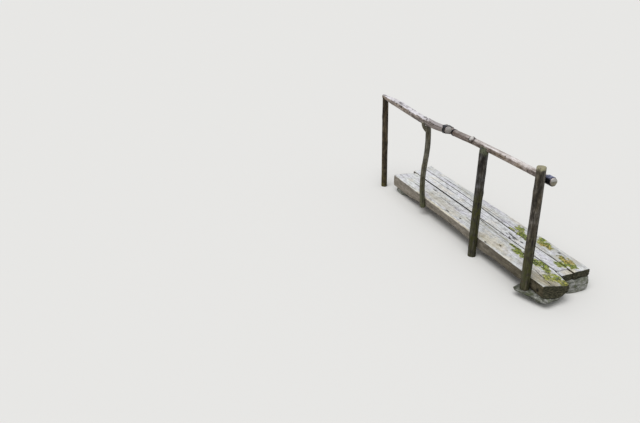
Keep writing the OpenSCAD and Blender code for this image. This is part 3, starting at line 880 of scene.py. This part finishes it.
def dress_straps():
    """Both straps, wound as their solids are, and the splice strap's last turn,
    round the near pole alone."""
    poles = Poles()
    near_start, far_start = (solid.low for solid in poles.solids)
    pitch = NEAR_STRAP_WIDTH + TURN_GAP
    wind_strap(poles, "near_post_strap", near_start + 0.9 * pitch, pitch,
               NEAR_STRAP_WIDTH, 0.007, (-0.35, 3.2), 3, sheen=1.0)
    pitch = SPLICE_STRAP_WIDTH + TURN_GAP
    wind_strap(poles, "splice_strap", far_start + 3.2 * pitch, -pitch,
               SPLICE_STRAP_WIDTH, 0.0055, (0.15, 2.65), 4, both=True, slant=0.4)
    wind_strap(poles, "splice_tail", far_start - 0.7 * TAIL_WIDTH, 0.002,
               TAIL_WIDTH, 0.003, (0.6, 1.75), 5)


# Stones

def dress_stone(name, seed, rough, layered):
    """A fieldstone with broken facets, or a layered slab."""
    solid = Solid(name, "z")
    made = skin(solid, round_ways(180), np.linspace(0, 1, 26),
                smooth=0.4 if layered else 2.5)
    points = made.points
    size = cloudy(points * 7, seed, 2)
    broken = np.abs(cloudy(points * 13, seed + 1, 3))
    grit = cloudy(points * 60, seed + 2, 3)
    height = rough * (0.007 * size - 0.011 * (broken - 0.3) + 0.0016 * grit)
    if layered:
        plates = cloudy(points * (4, 4, 190), seed + 3, 2)
        height += 0.006 * plates * (1 - made.is_cut)
    floor = step(points[..., 2], 0.0, 0.012)
    below = made.normals()[..., 2] < -0.5
    made.raise_by(np.where(below, 0, height * floor))
    finish = slab_finish if layered else stone_finish
    make_piece(made, name + "_rock", finish)


# Nails

NAIL_SIDES = 14
# Radius and height of the rings of a nail's head, from its tip down to its rim
NAIL_TIP = 0.0030
NAIL_RINGS = ((0.0025, 0.0028), (0.0044, 0.0020), (0.0052, 0.0008), (0.0050, -0.0004),
              (0.0030, -0.0012))
# How far below the deck's top each post's nails are
NAIL_DROPS = (0.035, 0.085)


def nail_head(spot, way, seed):
    """Points and faces of one nail's head, driven in at spot."""
    angle = np.arange(NAIL_SIDES) * 2 * math.pi / NAIL_SIDES
    wave = 1 + 0.06 * np.sin(3 * angle + seed)
    around = wave[:, None] * round_ways(NAIL_SIDES)
    points = [(0, 0, NAIL_TIP)]
    for radius, height in NAIL_RINGS:
        points += [(*(radius * place), height) for place in around]
    turn = np.array(Vector(way).to_track_quat("Z", "Y").to_matrix())
    rim = len(points) - NAIL_SIDES
    faces = [[k + 1 for k in face] for face in ring_faces(len(NAIL_RINGS), NAIL_SIDES)]
    faces += fan(np.arange(NAIL_SIDES, 0, -1), 0) + [list(range(rim, len(points)))]
    return np.array(spot) + np.array(points) @ turn.T, faces


def dress_nails():
    """Big nails that hold the posts to the left plank's side."""
    points, faces = np.zeros((0, 3)), []
    rng = np.random.default_rng(12)
    for name in ("near_post", "middle_post", "crooked_post"):
        solid = Solid(name, "z")
        for drop in NAIL_DROPS:
            height = DECK_ORIGIN[2] - drop
            centre = solid.at(height, solid.centres)
            side = rng.uniform(-0.012, 0.012)
            start = Vector((centre[0] + side, centre[1] + REACH, height))
            hit, normal, _, _ = solid.tree.ray_cast(start, Vector((0, -1, 0)), REACH)
            head, head_faces = nail_head(hit, normal, drop * 90)
            faces += [[k + len(points) for k in face] for face in head_faces]
            points = np.concatenate([points, head])
    piece = mesh_object("post_nails", points, faces, {}, points)
    dress(piece, rust_finish)


# Finishes

def tone(red, green, blue):
    """A colour from its screen values, 0 to 255."""
    values = np.array([red, green, blue]) / 255
    return (*np.where(values <= 0.04045, values / 12.92, ((values + 0.055) / 1.055) ** 2.4), 1)


def tones(*rows):
    """Colours from their screen values, mostly a dark, a middle and a light one."""
    return [tone(*row) for row in rows]


class Finish:
    """A node material in the making. Each call adds a node and returns its output."""

    def __init__(self, name):
        self.material = bpy.data.materials.new(name)
        self.material.use_nodes = True
        self.tree = self.material.node_tree
        self.shader = self.tree.nodes["Principled BSDF"]

    def node(self, kind, inputs, **settings):
        made = self.tree.nodes.new("ShaderNode" + kind)
        for key, value in settings.items():
            setattr(made, key, value)
        for key, value in inputs.items():
            self.join(value, made.inputs[key])
        return made

    def join(self, value, socket):
        if isinstance(value, bpy.types.NodeSocket):
            self.tree.links.new(value, socket)
        else:
            socket.default_value = value

    def mark(self, name):
        return self.node("Attribute", {}, attribute_name=name).outputs["Fac"]

    def grain(self, scale):
        """The grain's coordinates, two across and one along, stretched."""
        vector = self.node("Attribute", {}, attribute_name="grain").outputs["Vector"]
        return self.node("VectorMath", {0: vector, 1: scale}, operation="MULTIPLY").outputs[0]

    def cloud(self, scale, detail=4.0, rough=0.6, bend=0.0):
        return self.node("TexNoise", {
            "Vector": self.grain(scale), "Scale": 1.0, "Detail": detail, "Roughness": rough,
            "Distortion": bend}).outputs["Fac"]

    def cells(self, scale):
        vector = self.grain((scale, scale, scale))
        return self.node("TexVoronoi", {"Vector": vector, "Scale": 1.0}).outputs["Distance"]

    def span(self, value, low, high, to_low=0.0, to_high=1.0):
        """Value from low to high, mapped smoothly and held at its ends."""
        return self.node("MapRange", {
            "Value": value, "From Min": low, "From Max": high, "To Min": to_low,
            "To Max": to_high}, interpolation_type="SMOOTHSTEP").outputs["Result"]

    def sum(self, operation, a, b):
        return self.node("Math", {0: a, 1: b}, operation=operation).outputs[0]

    def times(self, a, b):
        return self.sum("MULTIPLY", a, b)

    def weigh(self, *parts):
        """The sum of values times their weights."""
        total = self.times(*parts[0])
        for part in parts[1:]:
            total = self.sum("ADD", total, self.times(*part))
        return total

    def worn(self, blots, much):
        """About 1 where the surface looks up, with an edge that the blots break."""
        ragged = self.times(self.sum("SUBTRACT", blots, 0.5), much)
        return self.sum("ADD", self.mark("up"), ragged)

    def blend(self, share, a, b):
        return self.node("Mix", {0: share, 6: a, 7: b}, data_type="RGBA").outputs[2]

    def paint(self, colour, mask, much, over):
        """A colour with another over it where the mask is on, as strong as much."""
        return self.blend(self.times(mask, much), colour, over)

    def tint(self, colour, by):
        """A colour times another."""
        return self.node("Mix", {0: 1.0, 6: colour, 7: by}, data_type="RGBA",
                         blend_type="MULTIPLY").outputs[2]

    def ramp(self, value, places, colours):
        """A value turned to the colours that stand at these places."""
        made = self.node("ValToRGB", {"Fac": value})
        elements = made.color_ramp.elements
        stops = list(zip(places, colours))
        elements[0].position, elements[0].color = stops[0]
        elements[1].position, elements[1].color = stops[-1]
        for position, colour in stops[1:-1]:
            elements.new(position).color = colour
        return made.outputs["Color"]

    def bump(self, height, distance):
        inputs = {"Height": height, "Distance": distance, "Strength": 1.0}
        return self.node("Bump", inputs).outputs["Normal"]

    def done(self, colour, rough, shine, normal=None, metal=0.0):
        """Joins the shader and returns the material. shine is its specular level."""
        inputs = self.shader.inputs
        self.join(colour, inputs["Base Color"])
        self.join(rough, inputs["Roughness"])
        inputs["Specular IOR Level"].default_value = shine
        inputs["Metallic"].default_value = metal
        if normal is not None:
            self.join(normal, inputs["Normal"])
        return self.material


# Tints over the wood, by which it is warmer and cooler in places
ROUND_TINTS = ((1.0, 0.95, 0.84, 1), (1, 1, 1, 1), (0.95, 0.96, 1.0, 1))
PLANK_TINTS = ((1.0, 0.96, 0.86, 1), (0.965, 0.985, 0.95, 1), (1, 1, 1, 1),
               (0.96, 0.955, 1.0, 1))


def wood_finish(name, top, side, cut, lichen, lichen_share, crack,
                damp=(0, 0, 0), dim=(0, 0, 0), crust=(0, 0, 0)):
    """Round wood. top and side each have a dark, a middle and a light tone, and cut
    has a sawn end's tones, from its lower half up to the painted highlight on its upper half."""
    f = Finish(name)
    bands = f.cloud((34, 34, 2.2), 5, 0.62, 0.5)
    streaks = f.cloud((150, 150, 6), 5, 0.65, 0.3)
    blots = f.cloud((24, 24, 14), 4, 0.65)
    shade = f.weigh((bands, 0.36), (streaks, 0.24), (blots, 0.4))
    hair_line = f.span(f.cloud((420, 420, 4.5), 2, 0.5, 0.6), 0.36, 0.42, 1, 0)
    colour = round_colour(f, shade, blots, top, side)
    colour = f.paint(colour, f.mark("dim"), 0.7, tone(*dim))
    colour = f.paint(colour, hair_line, 0.55, tone(*crack))
    colour = f.paint(colour, f.mark("damp"), f.span(blots, 0.3, 0.6), tone(*damp))
    spots = f.cloud((38, 38, 26), 4, 0.7)
    specks = f.times(f.span(spots, 1 - lichen_share, 1.04 - lichen_share),
                     f.span(f.cells(90), 0.2, 0.6, 1, 0.35))
    colour = f.paint(colour, specks, 0.8, tone(*lichen))
    # Sawn ends and knot faces, with a painted highlight on their upper half
    colour = f.paint(colour, f.mark("cut"), 0.6, round_end(f, cut))
    colour = f.paint(colour, f.mark("crust"), f.span(spots, 0.34, 0.56), tone(*crust))
    # Painted shade down in the checks, grooves and knots
    colour = f.paint(colour, f.mark("painted_shade"), 0.92, tone(*crack))
    height = f.weigh((streaks, 0.6), (hair_line, -0.5))
    return f.done(colour, f.span(streaks, 0.3, 0.7, 0.92, 0.72), 0.25, f.bump(height, 0.0012))


def round_colour(f, shade, blots, top, side):
    """Bare round wood, bleached on top."""
    colour_top = f.ramp(shade, (0.41, 0.5, 0.59), tones(*top))
    colour_side = f.ramp(shade, (0.41, 0.5, 0.6), tones(*side))
    hue = f.ramp(f.cloud((11, 11, 4), 3), (0.4, 0.5, 0.6), ROUND_TINTS)
    return f.blend(f.span(f.worn(blots, 0.7), 0.2, 0.8), f.tint(colour_side, hue), colour_top)


def round_end(f, cut):
    """The rings of a sawn end, with a painted highlight over its upper half."""
    rings = f.weigh((f.cloud((160, 160, 3), 3), 0.5), (f.mark("crown_highlight"), 0.5))
    return f.ramp(rings, (0.2, 0.55, 0.8), tones(*cut))


def plank_finish(name, top, film_share):
    """Bleached split log, with moss. top has a dark, a middle and a light tone."""
    f = Finish(name)
    blots = f.cloud((30, 30, 13), 5, 0.7)
    lines = f.cloud((48, 48, 3.2), 4, 0.65, 0.3)
    fibres = f.cloud((210, 210, 9), 4, 0.6, 0.4)
    grit = f.cloud((300, 300, 170), 3, 0.7)
    specks = f.cloud((170, 170, 80), 4, 0.75)
    shade = f.weigh((blots, 0.42), (lines, 0.2), (fibres, 0.14), (grit, 0.24),
                    (f.mark("far"), 0.022))
    colour = f.blend(f.span(f.worn(blots, 0.8), 0.25, 0.75), plank_side(f, shade),
                     plank_top(f, shade, top))
    colour = plank_dirt(f, colour, shade, blots, fibres, specks, film_share)
    colour = f.blend(f.mark("cut"), colour, plank_end(f))
    tufts = f.cloud((120, 120, 120), 3, 0.75)
    moss_mask = f.times(f.span(f.mark("moss"), 0.1, 0.55), f.span(specks, 0.3, 0.5))
    colour = f.blend(moss_mask, colour, moss_colour(f, tufts))
    # Painted shade down in the cracks, checks and joints, on the ledge's face and in knots
    colour = f.paint(colour, f.mark("painted_shade"), 0.94, tone(26, 24, 18))
    height = f.weigh((fibres, 0.5), (grit, 0.5), (f.times(tufts, f.mark("moss")), 1.5))
    return f.done(colour, f.span(shade, 0.4, 0.6, 0.92, 0.76), 0.2, f.bump(height, 0.0014))


def plank_top(f, shade, top):
    """The bleached face of a plank, warmer and cooler in places."""
    hue = f.ramp(f.cloud((7, 7, 2.5), 3), (0.38, 0.47, 0.55, 0.64), PLANK_TINTS)
    return f.tint(f.ramp(shade, (0.42, 0.5, 0.58), tones(*top)), hue)


def plank_side(f, shade):
    """The side of a plank: dark brown at the near end and lighter beyond."""
    places = (0.4, 0.5, 0.6)
    far = f.ramp(shade, places, tones((92, 87, 76), (126, 119, 108), (162, 154, 142)))
    near = f.ramp(shade, places, tones((38, 34, 22), (71, 65, 49), (118, 110, 87)))
    return f.blend(f.mark("near"), far, near)


def plank_dirt(f, colour, shade, blots, fibres, specks, film_share):
    """Tan and cream patches, dark specks and lines, and a film of algae."""
    tan_wood = f.ramp(fibres, (0.38, 0.5, 0.62),
                      tones((104, 90, 62), (152, 142, 110), (186, 176, 150)))
    pale_wood = f.ramp(shade, (0.42, 0.5, 0.58),
                       tones((168, 156, 128), (212, 203, 178), (238, 232, 214)))
    tan_mask = f.times(f.mark("stain"), f.span(blots, 0.34, 0.52))
    colour = f.paint(colour, tan_mask, 0.85, tan_wood)
    colour = f.paint(colour, f.mark("cream"), 0.75, pale_wood)
    colour = f.blend(f.span(specks, 0.33, 0.42, 0.65, 0), colour, tone(84, 78, 66))
    dark_lines = f.cloud((64, 64, 2.8), 3, 0.6, 0.4)
    colour = f.blend(f.span(dark_lines, 0.33, 0.42, 0.3, 0), colour, tone(104, 98, 88))
    film = f.sum("MAXIMUM", f.mark("film"), f.times(f.mark("up"), film_share))
    film = f.times(film, f.span(blots, 0.4, 0.6))
    return f.paint(colour, film, 0.8, tone(128, 126, 78))


def plank_end(f):
    """The dark, weathered end of a plank."""
    layers = f.cloud((34, 90, 3), 4, 0.65)
    return f.ramp(layers, (0.38, 0.5, 0.62), tones((35, 35, 24), (58, 57, 43), (84, 81, 64)))


def moss_colour(f, tufts):
    """Moss, yellower where it is thin, with orange patches."""
    clumps = f.cloud((32, 32, 32), 4, 0.7)
    shade = f.weigh((tufts, 0.5), (clumps, 0.5))
    places = (0.44, 0.5, 0.56)
    thick = f.ramp(shade, places, tones((34, 46, 4), (92, 110, 18), (164, 176, 60)))
    thin = f.ramp(shade, places, tones((70, 74, 20), (132, 138, 58), (196, 196, 116)))
    orange = f.ramp(shade, places, tones((80, 56, 10), (150, 126, 44), (210, 188, 108)))
    green = f.blend(f.span(f.mark("moss"), 0.5, 0.95), thin, thick)
    return f.paint(green, f.mark("warm"), f.span(clumps, 0.4, 0.55), orange)


def rubber():
    """Glossy black rubber with a painted sheen: the pale blue sky reflected in blotches where it
    faces up.
    """
    f = Finish("strap_rubber")
    smears = f.cloud((40, 40, 40))
    ribs = f.cloud((900, 60, 60), 2)
    colour = f.ramp(smears, (0.35, 0.6, 0.8), tones((6, 6, 8), (14, 13, 15), (34, 33, 38)))
    sheen_patches = f.span(f.cloud((70, 70, 70), 3), 0.36, 0.62, 0.1, 0.9)
    # Painted sheen: the pale blue sky reflected in blotches where the strap's turns face up
    colour = f.paint(colour, f.mark("up"), sheen_patches, tone(150, 154, 186))
    return f.done(colour, f.span(smears, 0.3, 0.7, 0.2, 0.4), 0.15, f.bump(ribs, 0.0002))


def stone(name, bands, green_share):
    """Rough fieldstone with lichen and damp green patches."""
    f = Finish(name)
    grit = f.cloud((160, 160, 160), 5, 0.7)
    blots = f.cloud((26, 26, 26), 4, 0.7)
    green = f.cloud((17, 17, 17), 4, 0.65)
    colour = f.ramp(f.cloud((14, 14, 60), 5, 0.65), (0.36, 0.5, 0.62), tones(*bands))
    colour = f.paint(colour, f.span(grit, 0.36, 0.5, 1, 0), 0.5, tone(64, 64, 58))
    colour = f.blend(f.span(blots, 0.56, 0.66, 0, 0.6), colour, tone(176, 178, 168))
    colour = f.blend(f.span(green, 0.46, 0.6, 0, green_share), colour, tone(74, 82, 44))
    return f.done(colour, 0.9, 0.2, f.bump(f.weigh((grit, 0.7), (blots, 1)), 0.002))


def rusty_iron():
    """Rusty iron of the nails."""
    f = Finish("rusty_iron")
    flakes = f.cloud((500, 500, 500))
    colour = f.ramp(flakes, (0.35, 0.55, 0.72), tones((46, 28, 20), (92, 54, 34), (126, 84, 56)))
    return f.done(colour, 0.85, 0.4, f.bump(flakes, 0.0004), metal=0.2)


left_plank_finish = plank_finish(
    "left_plank_wood", ((155, 153, 147), (215, 215, 218), (245, 246, 248)), 0.05)
middle_plank_finish = plank_finish(
    "middle_plank_wood", ((163, 161, 160), (223, 223, 229), (249, 250, 252)), 0.03)
right_plank_finish = plank_finish(
    "right_plank_wood", ((156, 154, 150), (210, 210, 214), (242, 243, 246)), 0.06)
near_post_finish = wood_finish(
    "post_wood",
    top=((84, 78, 62), (122, 116, 98), (166, 158, 138)),
    side=((31, 27, 23), (71, 66, 58), (122, 116, 108)),
    cut=((104, 96, 80), (150, 142, 122), (186, 178, 160)),
    lichen=(116, 116, 96), lichen_share=0.36, damp=(54, 58, 8),
    crack=(20, 17, 13), crust=(160, 155, 127))
middle_post_finish = wood_finish(
    "middle_post_wood",
    top=((84, 78, 66), (112, 106, 92), (150, 144, 128)),
    side=((25, 22, 20), (60, 57, 53), (108, 107, 109)),
    cut=((70, 66, 54), (100, 96, 80), (140, 132, 118)),
    lichen=(108, 112, 96), lichen_share=0.34, damp=(56, 57, 4),
    crack=(18, 16, 12), crust=(92, 96, 76))
far_post_finish = wood_finish(
    "far_post_wood",
    top=((84, 78, 60), (112, 104, 84), (152, 144, 120)),
    side=((28, 24, 16), (62, 54, 41), (102, 92, 72)),
    cut=((84, 78, 62), (108, 100, 82), (130, 122, 104)),
    lichen=(104, 102, 78), lichen_share=0.36, damp=(80, 76, 30),
    crack=(20, 17, 12))
crooked_finish = wood_finish(
    "mossy_wood",
    top=((92, 90, 74), (132, 129, 112), (172, 169, 152)),
    side=((48, 46, 36), (91, 88, 76), (136, 133, 120)),
    cut=((96, 92, 78), (118, 114, 98), (140, 136, 120)),
    lichen=(146, 148, 126), lichen_share=0.38, damp=(74, 78, 48),
    crack=(28, 25, 19))
near_rail_finish = wood_finish(
    "near_rail_wood",
    top=((156, 146, 140), (207, 198, 194), (238, 233, 232)),
    side=((76, 66, 58), (132, 120, 113), (182, 171, 164)),
    cut=((140, 136, 114), (112, 116, 98), (232, 232, 230)),
    lichen=(216, 214, 210), lichen_share=0.26,
    crack=(36, 29, 25), dim=(104, 91, 84))
far_rail_finish = wood_finish(
    "far_rail_wood",
    top=((146, 143, 145), (220, 215, 218), (242, 240, 246)),
    side=((80, 72, 65), (146, 135, 129), (196, 188, 182)),
    cut=((150, 148, 144), (190, 188, 182), (224, 224, 222)),
    lichen=(200, 212, 208), lichen_share=0.38,
    crack=(24, 20, 18), dim=(136, 126, 122))
rubber_finish = rubber()
stone_finish = stone("bearing_stone", ((96, 97, 92), (134, 135, 128), (174, 174, 172)), 0.45)
slab_finish = stone("slab_stone", ((64, 66, 60), (104, 105, 98), (168, 169, 164)), 0.6)
rust_finish = rusty_iron()

# The pieces

dress_plank("left_plank", 101, box_ways(116, 38, 44), 0.095, left_plank_finish)
dress_plank("middle_plank", 202, box_ways(72, 38, 30), 0.0, middle_plank_finish)
dress_plank("right_plank", 303, box_ways(72, 38, 26), 0.05, right_plank_finish)
dress_round("near_post", "z", near_post_finish, 11, sides=140, spacing=0.008, rough=1.3,
            damp_to=0.78, crust=0.026)
dress_round("middle_post", "z", middle_post_finish, 12, sides=140, spacing=0.006, rough=1.3,
            damp_to=0.95, keep_from=0.92, crust=0.075)
dress_round("far_post", "z", far_post_finish, 13, sides=120, spacing=0.008, rough=1.3,
            damp_to=0.4)
dress_round("near_rail_pole", "x", near_rail_finish, 14, sides=120, spacing=0.007, rough=0.6,
            checks=(16, 0.5, 0.003), knots=NEAR_POLE_KNOTS)
dress_round("far_rail_pole", "x", far_rail_finish, 15, sides=140, spacing=0.006, rough=1.3,
            checks=(22, 0.5, 0.0035), knots=FAR_POLE_KNOTS)
dress_crooked_post()
dress_straps()
dress_stone("near_left_slab", 21, 0.35, layered=True)
dress_stone("near_left_stone", 22, 1.0, layered=False)
dress_stone("near_right_stone", 23, 1.0, layered=False)
dress_stone("far_left_stone", 24, 1.0, layered=False)
dress_stone("far_right_stone", 25, 1.0, layered=False)
dress_nails()

# Stage, light and camera

FLOOR_HALF = 60.0
BACKDROP = tone(232, 231, 228)
SUN_PLACE = (-1.2, 2.0, 6.5)
SUN_STRENGTH = 1.7
SUN_WIDTH = math.radians(45)
SKY_COLOUR = (0.97, 0.98, 1.0, 1)
SKY_STRENGTH = 0.5


def make_floor():
    """A plain pale floor that runs to the horizon."""
    mesh = bpy.data.meshes.new("floor")
    corners = [(x * FLOOR_HALF, y * FLOOR_HALF, 0) for x, y in
               ((-1, -1), (1, -1), (1, 1), (-1, 1))]
    mesh.from_pydata(corners, [], [(0, 1, 2, 3)])
    floor = add_object("floor", mesh)
    mesh.materials.append(Finish("floor").done(BACKDROP, 1.0, 0.0))


def make_sun():
    """A high, soft sun from the camera's left."""
    lamp = bpy.data.lights.new("soft_sun", "SUN")
    lamp.energy = SUN_STRENGTH
    lamp.angle = SUN_WIDTH
    sun = add_object("soft_sun", lamp)
    sun.location = SUN_PLACE
    sun.rotation_euler = (-sun.location).to_track_quat("-Z", "Y").to_euler()


def make_sky():
    """An even pale sky. What the camera, gloss and glass see is the backdrop."""
    world = bpy.data.worlds.new("sky")
    world.use_nodes = True
    tree = world.node_tree
    light = tree.nodes["Background"]
    light.inputs["Color"].default_value = SKY_COLOUR
    light.inputs["Strength"].default_value = SKY_STRENGTH
    seen = tree.nodes.new("ShaderNodeBackground")
    seen.inputs["Color"].default_value = BACKDROP
    path = tree.nodes.new("ShaderNodeLightPath")
    mix = tree.nodes.new("ShaderNodeMixShader")
    share = path.outputs["Is Camera Ray"]
    for ray in ("Is Glossy Ray", "Is Transmission Ray"):
        either = tree.nodes.new("ShaderNodeMath")
        either.operation = "MAXIMUM"
        tree.links.new(share, either.inputs[0])
        tree.links.new(path.outputs[ray], either.inputs[1])
        share = either.outputs[0]
    tree.links.new(share, mix.inputs[0])
    tree.links.new(light.outputs[0], mix.inputs[1])
    tree.links.new(seen.outputs[0], mix.inputs[2])
    tree.links.new(mix.outputs[0], tree.nodes["World Output"].inputs["Surface"])
    bpy.context.scene.world = world


def make_camera():
    """The camera where the photographer stood."""
    camera = add_object("camera", bpy.data.cameras.new("camera"))
    camera.data.sensor_width = 36.0
    camera.data.lens = camera.data.sensor_width * FOCAL_LENGTH / PICTURE_SIZE[0]
    camera.location = Vector(DECK_ORIGIN + CAMERA_PLACE)
    camera.rotation_euler = camera_turn().to_euler()
    bpy.context.scene.camera = camera


make_floor()
make_sun()
make_sky()
make_camera()
bpy.context.scene.view_settings.view_transform = "Standard"
